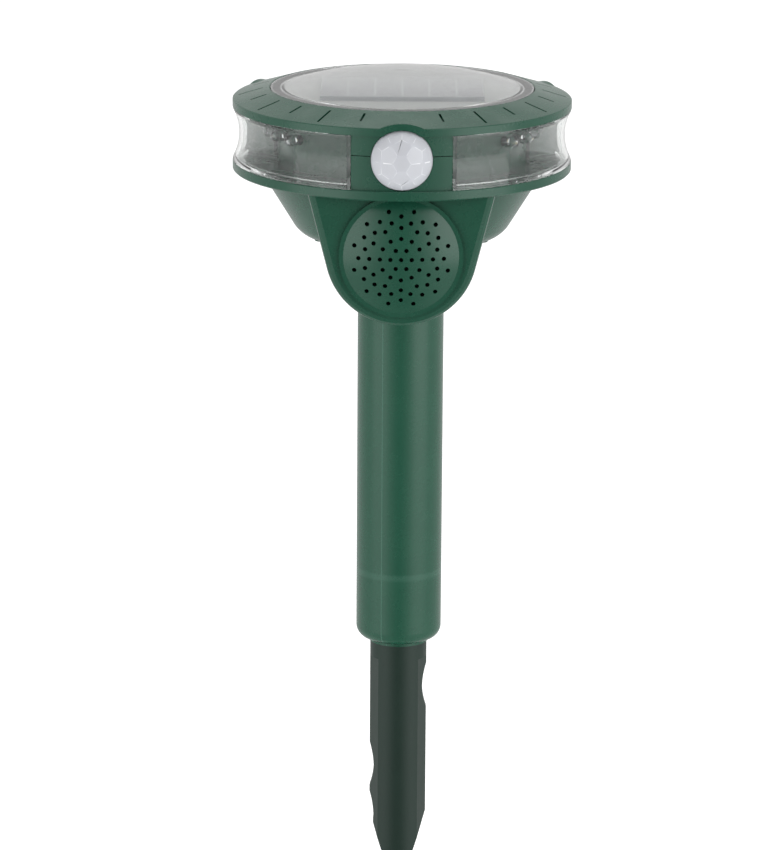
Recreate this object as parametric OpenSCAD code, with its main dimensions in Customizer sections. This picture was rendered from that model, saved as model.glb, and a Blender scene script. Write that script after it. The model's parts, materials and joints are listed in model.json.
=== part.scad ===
// Solar animal repeller: a round head with a solar panel, flashing windows and
// motion sensors, on a pole that plugs onto a ground stake.
// Millimetres. +Z is up, the front (sensor over loudspeaker) faces -Y, and the
// origin is on the pole's axis at ground level, where the stake leaves the pole.

/* [Head] */
// Outer radius of the head
head_r = 72.5; // [70:0.5:76]
// Height of the head's underside above the ground
head_z = 211.3; // [205:0.1:225]
// Thickness of the base ring under the windows
ring_t = 4.1; // [3.5:0.1:5]
// Height of the clear windows
window_h = 23; // [21:0.5:25]
// Height of the upright band round the cover
band_h = 3.4; // [3:0.1:4]
// Rise of the cover's conical top
crown_h = 4.6; // [4:0.1:5.5]
// Inner radius of the cover ring
eye_r = 56.5; // [55.5:0.5:57.5]
// Rise of the clear dome above the cover
dome_rise = 7.4; // [5:0.1:8]

/* [Posts and windows] */
// Half the width of the three sensor posts
post_w = 21; // [20:0.5:22]
// Radius of the sensor lens
lens_r = 12.75; // [12:0.25:13]
// How far the sensor lens stands out of its post
lens_rise = 8.5; // [7:0.5:10]
// Depth of the windows' hollow waist
waist = 2.6; // [1.5:0.1:3]

/* [Bowl and speaker pod] */
// Depth of the bowl under the base ring
bowl_h = 29; // [27:0.5:31]
// Radius of the bowl where it meets the ring
bowl_r = 61; // [58:0.5:62]
// Lean of the bowl's side from upright
bowl_lean = 31.7; // [28:0.1:33]
// Radius of the pod's round bottom
pod_r = 32; // [31:0.5:33]
// Height of the centre of the pod's round bottom, below the ring
pod_drop = 23.8; // [23:0.1:26]
// Lean of the pod's sides from upright
pod_lean = 14.3; // [12:0.1:16]
// Distance from the axis to the pod's face
pod_face = 61.5; // [61.5:0.1:63]
// Radius of the loudspeaker grille
grille_r = 26; // [25:0.5:26.5]

/* [Pole and stake] */
// Radius of the pole
pole_r = 18.6; // [18:0.1:19]
// Radius of the pole's neck inside the head's socket
neck_r = 18.2; // [17.6:0.1:18.4]
// Radius of the stake
stake_r = 12.4; // [12:0.1:12.5]
// Depth of the stake below ground
stake_h = 115.5; // [100:0.5:130]

/* [Hidden] */

$fn = 96;
// Radial gap of a running fit
fit = 0.05;
// Gap between two still pieces that lie side by side
gap = 0.1;
// Length that a cutter runs past the face it cuts
over = 1;
// Wall of the moulded shells
wall = 2.4;

// Heights, from the ground up
floor_z = head_z + ring_t;
band_z = floor_z + window_h;
rim_z = band_z + band_h;
crown_z = rim_z + crown_h;
seam_z = floor_z + 14.3;
seam_gap = 0.3;
lens_z = floor_z + 13;
bowl_z = head_z - bowl_h;
deck_t = 1.8;
deck_z = band_z + deck_t;
socket_top = 207;
socket_z = bowl_z - 2.5;

// Radii inside the head
drum_r = 53;
drum_in = 51;
post_r = 71.3;
post_in = 68.9;
boss_at = 38;
boss_r = 4;

// Directions round the head, counted from the front
post_turns = [0, 120, 240];
boss_turns = [60, 180, 300];

// Controls on the bowl's rear underside
control_at = 29;
knob_turn = 130;
button_turn = 180;
usb_turn = 230;

green = "#2f5f4c";
dark_green = "#25493c";

// ---- helpers -------------------------------------------------------------

// Turns a piece made at the front round to another direction
module turned(turn) {
    rotate([0, 0, turn]) children();
}

// Cylinder that lies along the radius at the front, from r0 out to r1
module radial(r, r0, r1, z) {
    translate([0, -r0, z]) rotate([90, 0, 0]) cylinder(r = r, h = r1 - r0);
}

// Round tube from z0 to z1
module tube(r_out, r_in, z0, z1) {
    translate([0, 0, z0]) difference() {
        cylinder(r = r_out, h = z1 - z0);
        translate([0, 0, -over]) cylinder(r = r_in, h = z1 - z0 + 2 * over);
    }
}

// Flat box with its middle on x = 0 at the front, from r0 out to r1
module front_box(half_w, r0, r1, z0, z1) {
    translate([-half_w, -r1, z0]) cube([2 * half_w, r1 - r0, z1 - z0]);
}

// Wire through a list of points
module wire(points, r) {
    for (i = [0 : len(points) - 2]) {
        run = points[i + 1] - points[i];
        span = norm(run);
        translate(points[i])
            rotate([0, acos(run[2] / span), atan2(run[1], run[0])])
                cylinder(r = r, h = span, $fn = 16);
    }
    for (i = [1 : len(points) - 2]) translate(points[i]) sphere(r = r, $fn = 16);
}

// ---- ground stake and pole -----------------------------------------------

spigot_r = 10.6;
spigot_h = 36;
channel_r = stake_r - 3;

// Half pipe with its round side to the front, side flats and bitten edges
module stake_body() {
    difference() {
        translate([0, 0, -stake_h]) cylinder(r = stake_r, h = stake_h - gap);
        translate([0, 0, -stake_h - over]) cylinder(r = channel_r, h = stake_h - 5);
        translate([-20, 2, -stake_h - over]) cube([40, 20, stake_h - 5]);
        stake_flats();
        for (bite = [[-58, -1], [-81, -1], [-21, 1]]) stake_bite(bite[0], bite[1]);
        stake_point();
    }
}

// Long narrow flats on the front corners of the half pipe
module stake_flats() {
    flat_turn = 66;
    for (side = [-1, 1])
        rotate([0, 0, side * flat_turn])
            translate([-10, -stake_r - 10 + 0.85, -stake_h - over])
                cube([20, 10, stake_h - 6]);
}

// Shallow round bite out of one long edge
module stake_bite(z, side) {
    bite_r = 30;
    bite_depth = 1.8;
    translate([side * (stake_r + bite_r - bite_depth), 40, z])
        rotate([90, 0, 0]) cylinder(r = bite_r, h = 80);
}

// Two slopes that bring the stake to a point
module stake_point() {
    taper_h = 36;
    for (side = [-1, 1])
        translate([0, 30, -stake_h]) rotate([90, 0, 0]) linear_extrude(60)
            polygon([
                [0, -over], [0, 0], [side * stake_r, taper_h],
                [side * (stake_r + 10), taper_h], [side * (stake_r + 10), -over]
            ]);
}

module ground_stake() {
    color(dark_green) {
        stake_body();
        tube(spigot_r, spigot_r - 2.6, -3, spigot_h);
        translate([0, 0, spigot_h - 2]) cylinder(r = spigot_r, h = 2);
    }
}

// Outline of the pole's outside, with a rounded shoulder over a small lip
module pole_outline() {
    shoulder = 5.5;
    lip_r = 12.9;
    lip_h = 1.5;
    square([lip_r, lip_h + over]);
    translate([0, lip_h]) square([pole_r - shoulder, shoulder + over]);
    translate([0, lip_h + shoulder])
        square([pole_r, socket_z - gap - lip_h - shoulder]);
    translate([0, socket_z - over]) square([neck_r, socket_top - gap - socket_z + over]);
    intersection() {
        translate([pole_r - shoulder, lip_h + shoulder]) circle(r = shoulder);
        square([pole_r, lip_h + shoulder]);
    }
}

module pole() {
    inside_r = neck_r - 2.2;
    throat_h = 30;
    color(green) difference() {
        rotate_extrude() pole_outline();
        translate([0, 0, -over]) cylinder(r = spigot_r + fit, h = socket_top);
        translate([0, 0, throat_h]) cylinder(r = inside_r, h = socket_top);
    }
}

// ---- lower shell ----------------------------------------------------------

// Half outline of the bowl, inset by its wall for the inside
module bowl_outline(inset) {
    round_r = 12;
    round_z = bowl_z + round_r;
    round_x = bowl_r
        - ((head_z - round_z) * sin(bowl_lean) + round_r) / cos(bowl_lean);
    r = round_r - inset;
    polygon([
        [0, bowl_z + inset],
        [round_x, bowl_z + inset],
        [round_x + r * cos(bowl_lean), round_z - r * sin(bowl_lean)],
        [bowl_r - inset / cos(bowl_lean), head_z],
        [0, head_z]
    ]);
    translate([round_x, round_z]) circle(r = r);
}

pod_back = 21.6;

// The pod's outline inset by a margin and extruded forwards from its back
module pod_slice(inset, depth) {
    r = pod_r - inset;
    top_w = (r + pod_drop * sin(pod_lean)) / cos(pod_lean);
    linear_extrude(depth) polygon(concat(
        [[top_w, pod_drop], [-top_w, pod_drop]],
        [for (i = [0 : 40]) let (a = 180 + pod_lean + i * (180 - 2 * pod_lean) / 40)
            [r * cos(a), r * sin(a)]]
    ));
}

// The pod's outside, rounded over along its front edge
module pod_outside() {
    edge_r = 3;
    depth = pod_face - pod_back;
    translate([0, -pod_back, head_z - pod_drop]) rotate([90, 0, 0]) hull()
        for (a = [0 : 30 : 90])
            pod_slice(edge_r * (1 - cos(a)), depth - edge_r * (1 - sin(a)));
}

// Room inside the speaker pod
module pod_room() {
    translate([0, -pod_back - wall, head_z - pod_drop]) rotate([90, 0, 0])
        pod_slice(wall, pod_face - pod_back - 2 * wall);
}

// Base ring with a small bevel on both outer edges
module base_ring() {
    bevel = 0.5;
    rotate_extrude() polygon([
        [drum_in, head_z], [head_r - bevel, head_z], [head_r, head_z + bevel],
        [head_r, floor_z - 0.3], [head_r - 0.3, floor_z], [drum_in, floor_z]
    ]);
}

// One sensor post between two heights, hollow at the back
module post(z0, z1) {
    side = 2.4;
    difference() {
        intersection() {
            front_box(post_w, drum_in, head_r, z0, z1);
            translate([0, 0, z0]) cylinder(r = post_r, h = z1 - z0);
        }
        intersection() {
            front_box(post_w - side, drum_in - over, head_r, z0 - over, z1 + over);
            translate([0, 0, z0 - over]) cylinder(r = post_in, h = z1 - z0 + 2 * over);
        }
    }
}

// Drum wall between two heights, open behind the posts
module drum(z0, z1) {
    difference() {
        tube(drum_r, drum_in, z0, z1);
        for (turn = post_turns)
            turned(turn) front_box(post_w - 2.4, 40, 60, z0 - over, z1 + over);
    }
}

// Round holes through the drum for the flashing lights, halved by the seam
module led_holes() {
    for (turn = led_turns_all) turned(turn) radial(2.6, drum_in - over, 56, seam_z + 0.04);
}

// Slots that hold the edges of a sensor board
module board_slots() {
    for (side = [-1, 1], r0 = [52.4, 55.6])
        translate([side > 0 ? 12.4 : -18.8, -r0 - 1.4, floor_z])
            cube([6.4, 1.4, 10]);
}

// Ledges on the drum's inside that carry the ring board of the lights
module led_board_rests() {
    for (turn = boss_turns) turned(turn)
        front_box(4, 47.5, drum_in + 0.5, led_board_z - 3, led_board_z);
}

module control_lugs() {
    turned(usb_turn) for (side = [-1, 1])
        difference() {
            translate([side * 5.6 - 1.2, -control_at - 7.3, bowl_z - 2.6])
                cube([2.4, 2.6, 3]);
            translate([-10, -control_at - 6, bowl_z - 1.3])
                rotate([0, 90, 0]) cylinder(r = 0.8, h = 20, $fn = 24);
        }
}

module control_holes() {
    turned(knob_turn) translate([0, -control_at, bowl_z - over])
        cylinder(r = 3 + fit, h = wall + 2 * over);
    turned(button_turn) translate([0, -control_at, bowl_z - over])
        cylinder(r = 4 + fit, h = wall + 2 * over);
    turned(usb_turn) front_box(4.7, control_at - 1.9, control_at + 1.9,
        bowl_z - over, bowl_z + wall + over);
}

// Long bosses that the case screws reach through from below
module lower_bosses() {
    for (turn = boss_turns) turned(turn) translate([0, -boss_at, 0])
        difference() {
            union() {
                translate([0, 0, bowl_z + 1]) cylinder(r = boss_r, h = seam_z - bowl_z - 1);
                translate([0, 0, main_z - 3]) cylinder(r = boss_r + 2, h = 3);
            }
            translate([0, 0, bowl_z]) cylinder(r = 1.7, h = 80);
            translate([0, 0, bowl_z]) cylinder(r = 3.1, h = screw_seat - bowl_z);
        }
}

module lower_shell() {
    color(green) difference() {
        union() {
            difference() {
                union() {
                    rotate_extrude() intersection() {
                        bowl_outline(0);
                        square([100, head_z]);
                    }
                    pod_outside();
                    base_ring();
                }
                rotate_extrude() intersection() {
                    bowl_outline(wall);
                    square([100, head_z]);
                }
                pod_room();
                translate([0, 0, head_z - over]) cylinder(r = drum_in, h = ring_t + 2 * over);
            }
            tube(pole_r + 2, neck_r + fit, socket_z, socket_top);
            translate([0, 0, socket_top]) cylinder(r = pole_r + 2, h = wall);
            drum(floor_z - over, seam_z);
            lower_bosses();
            for (turn = post_turns) turned(turn) {
                post(floor_z - over, seam_z);
                board_slots();
            }
            led_board_rests();
            for (side = [-1, 1]) translate([side * speaker_screw_x, 0, 0])
                radial(2.2, frame_front - 2 + gap, pod_face - wall + over, grille_z);
            control_lugs();
        }
        translate([0, 0, bowl_z - 10]) cylinder(r = neck_r + fit, h = socket_top - bowl_z + 10);
        for (turn = boss_turns) turned(turn)
            translate([0, -boss_at, bowl_z - 5]) cylinder(r = 3.1, h = 12);
        for (turn = post_turns) turned(turn) radial(lens_r + 0.2, 60, 80, lens_z);
        radial(grille_hole, pod_face - 10, pod_face + 10, grille_z);
        for (side = [-1, 1]) translate([side * speaker_screw_x, 0, 0])
            radial(1, frame_front - 5, pod_face - 1, grille_z);
        led_holes();
        control_holes();
    }
}

// ---- upper shell and cover --------------------------------------------------

screw_seat = 214;

module upper_bosses() {
    for (turn = boss_turns) turned(turn) translate([0, -boss_at, seam_z + gap])
        cylinder(r = boss_r, h = band_z - seam_z);
}

module upper_shell() {
    color(green) difference() {
        union() {
            tube(70.2, 36, band_z, deck_z);
            drum(seam_z, band_z + 0.5);
            upper_bosses();
            for (turn = post_turns) turned(turn) post(seam_z + seam_gap, band_z);
        }
        for (turn = boss_turns) turned(turn)
            translate([0, -boss_at, seam_z - over]) cylinder(r = 1.25, h = 8);
        for (turn = post_turns) turned(turn) {
            radial(lens_r + 0.2, 60, 80, lens_z);
            for (side = [-1, 1]) translate([side * cover_screw_x, -cover_screw_r, band_z - over])
                cylinder(r = 1.4, h = deck_t + 2 * over);
        }
        led_holes();
    }
}

cover_screw_x = 16;
cover_screw_r = 61;
cover_wall = 2;
// Drop of the cover's cone for each millimetre outwards
cone_fall = crown_h / (head_r - eye_r);

// Half section of the cover ring
module cover_section() {
    bevel = 0.35;
    foot_z = deck_z + gap;
    rib = 1.8;
    polygon([
        [head_r, band_z + gap], [head_r, rim_z - bevel], [head_r - bevel, rim_z],
        [eye_r + bevel, crown_z], [eye_r, crown_z - bevel], [eye_r, foot_z],
        [eye_r + rib, foot_z], [eye_r + rib, crown_z - cover_wall - rib * cone_fall],
        [head_r - cover_wall, rim_z - 1.5], [head_r - cover_wall, band_z + gap]
    ]);
}

hood_r = 22;
front_hood = 2;
rear_hood = 0.6;
hood_slope = 7.1;

// Leaning cylinder over a sensor lens; it swells the band and the cone by its rise
module hood(rise) {
    intersection() {
        translate([0, -head_r, rim_z + rise - hood_r]) rotate([-hood_slope, 0, 0])
            translate([0, 15.4, 0]) rotate([90, 0, 0]) cylinder(r = hood_r, h = 21);
        translate([0, 0, deck_z + 0.4]) cylinder(r = head_r + 0.3, h = 20);
    }
}

// Row of grooves between two hoods, short and long by turns
module cover_grooves() {
    groove_w = 1;
    groove_deep = 1.1;
    start_r = 59.6;
    for (turn = post_turns, i = [1 : 7]) {
        end_r = i % 2 == 0 ? 70.4 : 66.8;
        turned(turn + 15 * i)
            translate([0, -start_r, crown_z - (start_r - eye_r) * cone_fall])
                rotate([atan(cone_fall), 0, 0])
                    translate([-groove_w / 2, start_r - end_r, -groove_deep])
                        cube([groove_w, end_r - start_r, groove_deep + 2]);
    }
}

module cover_bosses() {
    for (turn = post_turns, side = [-1, 1]) turned(turn)
        translate([side * cover_screw_x, -cover_screw_r, deck_z + gap])
            difference() {
                cylinder(r = 2.6, h = 2.4);
                translate([0, 0, -over]) cylinder(r = 0.9, h = 2.4 + over);
            }
}

module top_cover() {
    color(green) difference() {
        union() {
            rotate_extrude() cover_section();
            for (turn = post_turns) turned(turn) hood(turn == 0 ? front_hood : rear_hood);
            cover_bosses();
        }
        for (turn = post_turns) turned(turn) radial(lens_r + 0.15, 64, 80, lens_z);
        cover_grooves();
        translate([0, 0, deck_z - 5]) cylinder(r = eye_r, h = 30);
    }
}

// ---- dome, gasket, panel and tray -----------------------------------------

dome_foot_r = 51.5;
dome_edge_r = eye_r - 0.2;
flange_z = crown_z - 1.4;
flange_t = 1.3;
dome_t = 1.5;
// Sphere through the dome's foot and top
dome_ball = (dome_foot_r * dome_foot_r + dome_rise * dome_rise) / (2 * dome_rise);
dome_top = flange_z + flange_t + dome_rise;

module dome_ball_at(inset) {
    translate([0, 0, dome_top - dome_ball]) sphere(r = dome_ball - inset, $fn = 240);
}

module panel_dome() {
    color([0.8, 0.82, 0.84, 0.5]) difference() {
        union() {
            intersection() {
                dome_ball_at(0);
                translate([0, 0, flange_z]) cylinder(r = dome_foot_r, h = 20);
            }
            translate([0, 0, flange_z]) cylinder(r = dome_edge_r, h = flange_t);
        }
        intersection() {
            dome_ball_at(dome_t);
            translate([0, 0, flange_z - over]) cylinder(r = dome_foot_r - 1.5, h = 20);
        }
    }
}

module dome_gasket() {
    color("#c4c8c8") tube(55.4, 52.2, flange_z - 0.9, flange_z);
}

panel_w = 69;
panel_d = 51;
panel_t = 1.8;
panel_z = flange_z - 0.9;

module solar_panel() {
    color("#1c2233") translate([-panel_w / 2, -panel_d / 2, panel_z])
        cube([panel_w, panel_d, panel_t]);
}

// Shallow dish under the dome, with a raised pad for the panel
module panel_tray() {
    tray_t = 1.6;
    color("#d5d8d6") difference() {
        translate([0, 0, deck_z + gap]) cylinder(r = 55.9, h = panel_z - deck_z - gap);
        translate([0, 0, deck_z - over])
            cylinder(r = 53, h = panel_z - tray_t - deck_z + over);
        translate([0, 0, deck_z]) cylinder(r = 4, h = 20);
    }
}

// ---- windows ----------------------------------------------------------------

window_out = head_r - 0.2;
window_half = window_h / 2 - gap;
window_mid = floor_z + window_h / 2;
// Circle of the panes' hollow waist
waist_half = window_half - 0.6;
waist_arc = (waist_half * waist_half + waist * waist) / (2 * waist);
waist_x = window_out - waist + waist_arc;

// Half section of a window filled in to the drum
module window_filled() {
    translate([0, window_mid]) difference() {
        translate([drum_r + 0.3, -window_half])
            square([window_out - drum_r - 0.3, 2 * window_half]);
        translate([waist_x, 0]) circle(r = waist_arc, $fn = 160);
    }
}

// Half section of the room behind the pane and between its two lips
module window_hollow() {
    pane = 1.6;
    lip_t = 1.4;
    lip_in = 67.8;
    translate([0, window_mid]) {
        translate([drum_r - 3, -window_h]) square([lip_in - drum_r + 3, 2 * window_h]);
        difference() {
            translate([lip_in - over, lip_t - window_half])
                square([window_out - lip_in, 2 * (window_half - lip_t)]);
            translate([waist_x, 0]) circle(r = waist_arc + pane, $fn = 160);
        }
    }
}

// Wedge of a third of the head, centred at a turn
module third(turn) {
    reach = 90;
    turned(turn) translate([0, 0, floor_z - 2]) linear_extrude(window_h + 4) polygon([
        [0, 0], [-reach * sin(60), -reach * cos(60)],
        [-reach * sin(60), -2 * reach], [reach * sin(60), -2 * reach],
        [reach * sin(60), -reach * cos(60)]
    ]);
}

// Everything between two neighbouring posts, for the window centred at a turn
module window_room(turn, side_gap) {
    difference() {
        third(turn);
        for (post_turn = post_turns) turned(post_turn)
            front_box(post_w + side_gap, 0, 95, floor_z - 3 * over, band_z + 3 * over);
    }
}

module window(turn) {
    side_gap = 0.15;
    end_t = 1.5;
    color([0.85, 0.87, 0.88, 0.4]) difference() {
        intersection() {
            rotate_extrude() window_filled();
            window_room(turn, side_gap);
        }
        intersection() {
            rotate_extrude() window_hollow();
            window_room(turn, side_gap + end_t);
        }
    }
}

// ---- sensors ----------------------------------------------------------------

lens_foot = 71;
lens_ball = (lens_r * lens_r + lens_rise * lens_rise) / (2 * lens_rise);

// Thin milky dome with a flange behind the post's face
module pir_lens(turn) {
    skin = 0.9;
    flange_out = 13.6;
    flange_y = 67.3;
    color("#e2e3e8") turned(turn) difference() {
        union() {
            radial(lens_r, flange_y - 1, lens_foot, lens_z);
            intersection() {
                translate([0, -(lens_foot + lens_rise - lens_ball), lens_z])
                    rotate([90, 0, 0]) sphere(r = lens_ball);
                radial(lens_r, lens_foot - 0.01, lens_foot + lens_rise + over, lens_z);
            }
            intersection() {
                radial(flange_out, flange_y - 1, flange_y, lens_z);
                front_box(20, 60, 80, floor_z + gap, band_z - gap);
            }
        }
        radial(lens_r - skin, flange_y - 2, lens_foot, lens_z);
        intersection() {
            translate([0, -(lens_foot + lens_rise - lens_ball), lens_z])
                rotate([90, 0, 0]) sphere(r = lens_ball - skin);
            radial(lens_r - skin, lens_foot - 0.01, lens_foot + lens_rise, lens_z);
        }
    }
}

board_r = 54;
board_t = 1.4;

module pir_board(turn) {
    color("#2f7a4a") turned(turn)
        front_box(13.8, board_r, board_r + board_t, floor_z + gap, band_z - 1);
}

module pir_sensor(turn) {
    can_r = 4.6;
    color("#c9cbcc") turned(turn) {
        radial(5, board_r + board_t, board_r + board_t + 0.6, lens_z);
        difference() {
            radial(can_r, board_r + board_t, board_r + board_t + 4.3, lens_z);
            front_box(1.9, board_r + board_t + 3.9, board_r + 9, lens_z - 1.4, lens_z + 1.4);
        }
    }
}

// ---- flashing lights ----------------------------------------------------------

// Directions of the lights behind each window
led_turns_left = [-54, -66, -78, -90];
led_turns_right = [54, 66, 78, 90];
led_turns_rear = [162, 174, 186, 198];
led_turns_all = concat(led_turns_left, led_turns_right, led_turns_rear);
led_back = 51.6;
led_len = 6.1;

module leds(turns) {
    color([0.92, 0.93, 0.95, 0.5]) for (turn = turns) turned(turn) {
        radial(2.9, led_back - 1, led_back - 0.72, seam_z);
        radial(2.5, led_back - 1, led_back + led_len, seam_z);
        translate([0, -(led_back + led_len), seam_z]) sphere(r = 2.5, $fn = 48);
    }
}

led_board_z = seam_z - 4.6;
led_board_t = 1.4;

// Two bent legs behind each light, down to the ring board
module led_leads() {
    leg = 0.5;
    bend_r = 47.4;
    foot_z = led_board_z + led_board_t;
    color("#b9bcbd") for (turn = led_turns_all, side = [-1, 1]) turned(turn)
        translate([side * 1.27 - leg / 2, 0, 0]) {
            translate([0, 1 - led_back, seam_z - leg / 2])
                cube([leg, led_back - 1 - bend_r, leg]);
            translate([0, -bend_r - leg, foot_z])
                cube([leg, leg, seam_z - leg / 2 - foot_z + 0.01]);
        }
}

module led_board() {
    color("#2f7a4a") tube(50.3, 43.5, led_board_z, led_board_z + led_board_t);
}

// ---- loudspeaker ----------------------------------------------------------------

grille_z = head_z - 25.4;
grille_hole = 23.6;
grille_rise = 6.2;
grille_skin = 1.6;
rim_t = 1.5;
mesh_r = grille_r - 1.8;
grille_ball = (mesh_r * mesh_r + grille_rise * grille_rise) / (2 * grille_rise);

// Rings of sound holes: radius, count, turn of the first hole
hole_rings = [
    [4.43, 6, 0], [8.8, 12, 0], [13.25, 12, 0], [15.55, 12, 15],
    [17.8, 12, 0], [20.2, 12, 15]
];

module sound_holes() {
    hole_r = 0.93;
    radial(hole_r, pod_face - 6, pod_face + 12, grille_z);
    for (ring = hole_rings, i = [0 : ring[1] - 1]) {
        a = ring[2] + i * 360 / ring[1];
        translate([ring[0] * cos(a), 0, ring[0] * sin(a)])
            radial(hole_r, pod_face - 6, pod_face + 12, grille_z);
    }
}

module grille_ball_at(inset) {
    translate([0, -(pod_face + rim_t + grille_rise - grille_ball), grille_z])
        rotate([90, 0, 0]) sphere(r = grille_ball - inset, $fn = 120);
}

module speaker_grille() {
    color(green) difference() {
        union() {
            radial(grille_r, pod_face + gap, pod_face + rim_t, grille_z);
            radial(grille_hole - 0.2, pod_face - wall, pod_face + rim_t, grille_z);
            intersection() {
                grille_ball_at(0);
                radial(mesh_r, pod_face + rim_t - 0.01, pod_face + 12, grille_z);
            }
        }
        intersection() {
            grille_ball_at(grille_skin);
            radial(mesh_r - 2, pod_face - 6, pod_face + 12, grille_z);
        }
        radial(mesh_r - 2, pod_face - 6, pod_face + 0.3, grille_z);
        sound_holes();
        translate([-40, -80, head_z - gap]) cube([80, 60, 20]);
    }
}

horn_r = 21.5;
seal_t = 1.5;
frame_front = pod_face - wall - seal_t;

module speaker_seal() {
    color("#262828") difference() {
        radial(horn_r + 1.6, frame_front, frame_front + seal_t - 0.05, grille_z);
        radial(horn_r - 1.8, frame_front - over, pod_face, grille_z);
    }
}

module speaker_frame() {
    color("#303334") difference() {
        union() {
            radial(horn_r + 1.6, frame_front - 4, frame_front, grille_z);
            radial(15, frame_front - 16, frame_front - 4, grille_z);
            front_box(28.6, frame_front - 4, frame_front - 2, grille_z - 3, grille_z + 3);
        }
        radial(horn_r - 1.8, frame_front - 3, frame_front + over, grille_z);
        radial(12.5, frame_front - 14, frame_front, grille_z);
        for (side = [-1, 1]) translate([side * speaker_screw_x, 0, 0])
            radial(1.3, frame_front - 10, frame_front + over, grille_z);
    }
}

speaker_screw_x = 26;

// Shallow cone with a cap, sitting in the frame
module speaker_cone() {
    color("#b7b29a") translate([0, -(frame_front - 2.9), grille_z]) rotate([90, 0, 0])
        difference() {
            union() {
                translate([0, 0, -6]) cylinder(r1 = 4, r2 = 12, h = 6);
                cylinder(r = horn_r - 2, h = 1);
            }
            translate([0, 0, -5.2]) cylinder(r1 = 4, r2 = 12.4, h = 6.3);
            translate([0, 0, -20]) cylinder(r = 2, h = 20);
        }
}

module speaker_screws() {
    color("#8f9496") for (side = [-1, 1]) translate([side * speaker_screw_x, 0, 0]) {
        radial(1, frame_front - 4, pod_face - wall, grille_z);
        radial(2.4, frame_front - 5.8, frame_front - 4, grille_z);
    }
}

// ---- boards, cells and leads ------------------------------------------------------

main_z = floor_z - 2.4;
main_t = 1.6;
main_r = 47;

module main_board() {
    color("#2f7a4a") difference() {
        translate([0, 0, main_z]) cylinder(r = main_r, h = main_t);
        for (turn = boss_turns) turned(turn)
            translate([0, -boss_at, main_z - over]) cylinder(r = boss_r + 0.3, h = 5);
        translate([9, -40, main_z - over]) cylinder(r = 3, h = 5);
    }
}

module controller_chip() {
    color("#2a2c2e") translate([-9, 22.4, main_z - 1.8]) cube([9.9, 5.3, 1.7]);
}

module boost_coil() {
    color("#6b4a2c") translate([20, -31, main_z - 6]) difference() {
        cylinder(r = 4.6, h = 5.9);
        translate([0, 0, 1]) difference() {
            cylinder(r = 5, h = 3.8);
            cylinder(r = 3.4, h = 3.8);
        }
    }
}

module capacitors() {
    color("#3a4a6a") for (spot = [[-22, -30], [-30, 22]])
        translate([spot[0], spot[1], main_z - 8]) cylinder(r = 3.2, h = 7.9);
}

cell_r = 7.15;
cell_len = 50.2;
box_z = main_z + main_t + gap;
cell_z = box_z + 1.4 + cell_r;
cell_pitch = 14.9;

module battery_box() {
    half_w = 23.4;
    half_l = 29;
    color("#2b2d2e") difference() {
        translate([-half_w, -half_l, box_z]) cube([2 * half_w, 2 * half_l, 11]);
        translate([-half_w + 1.2, -half_l + 1.4, box_z + 1.3])
            cube([2 * half_w - 2.4, 2 * half_l - 2.8, 20]);
    }
}

module battery_cells() {
    color("#5f9a55") for (i = [-1, 0, 1])
        translate([i * cell_pitch, 0, cell_z]) rotate([i == 0 ? -90 : 90, 0, 0]) {
            translate([0, 0, -cell_len / 2]) cylinder(r = cell_r, h = cell_len - 1.4);
            translate([0, 0, cell_len / 2 - 1.41]) cylinder(r = 2.6, h = 1.4);
        }
}

module battery_contacts() {
    color("#c4c7c8") for (i = [-1, 0, 1], side = [-1, 1])
        translate([i * cell_pitch - 4, side > 0 ? 25.3 : -27.4, box_z + 3.4]) {
            translate([0, side > 0 ? 1.7 : 0, 0]) cube([8, 0.4, 8]);
            translate([4, side > 0 ? 1.8 : 0.3, 4.6]) rotate([side > 0 ? 90 : -90, 0, 0])
                cylinder(r1 = 3.2, r2 = 2.2, h = 1.5);
        }
}

// Two wires from the loudspeaker up to the main board
module speaker_lead() {
    foot_z = grille_z + 14.85;
    color("#b03030") for (side = [-1, 1])
        translate([side * 3, -46, foot_z]) cylinder(r = 0.7, h = main_z - foot_z);
}

// Two wires from the panel down through the tray to the main board
module panel_lead() {
    color("#b03030") for (side = [-1, 1])
        wire([
            [side * 1.5, 0, panel_z - 0.6],
            [side * 1.5, 0, panel_z - 6],
            [side * 1.5, 32, panel_z - 8],
            [side * 1.5, 32, main_z + main_t]
        ], 0.7);
}

// ---- controls -------------------------------------------------------------------

control_z = bowl_z + 9;
control_t = 1.6;

module control_board() {
    color("#2f7a4a") difference() {
        tube(33.4, 22, control_z, control_z + control_t);
        translate([-50, -60, control_z - over]) cube([100, 66, 5]);
    }
}

module mode_knob() {
    knob_r = 6.4;
    color("#1f2624") turned(knob_turn) translate([0, -control_at, 0]) difference() {
        union() {
            translate([0, 0, bowl_z - 3.4]) cylinder(r = knob_r, h = 3.1);
            translate([-1.3, -knob_r + 0.4, bowl_z - 7]) cube([2.6, 2 * knob_r - 0.8, 4]);
            translate([0, 0, bowl_z - 2]) cylinder(r = 3, h = 8);
        }
        for (i = [0 : 11]) rotate([0, 0, i * 30 + 15])
            translate([knob_r + 0.4, 0, bowl_z - 4]) cylinder(r = 0.8, h = 5, $fn = 16);
    }
}

module mode_switch() {
    color("#3b3e40") turned(knob_turn) difference() {
        front_box(5.2, control_at - 5.2, control_at + 4.2, bowl_z + wall + 0.2, control_z);
        translate([0, -control_at, bowl_z]) cylinder(r = 3 + fit, h = 6.2);
    }
}

module power_button() {
    color("#8c2f2a") turned(button_turn) translate([0, -control_at, 0]) {
        translate([0, 0, bowl_z - 1.4]) cylinder(r = 4, h = wall + 2.2);
        translate([0, 0, bowl_z + wall + 0.1]) cylinder(r = 4.6, h = 0.8);
    }
}

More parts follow.
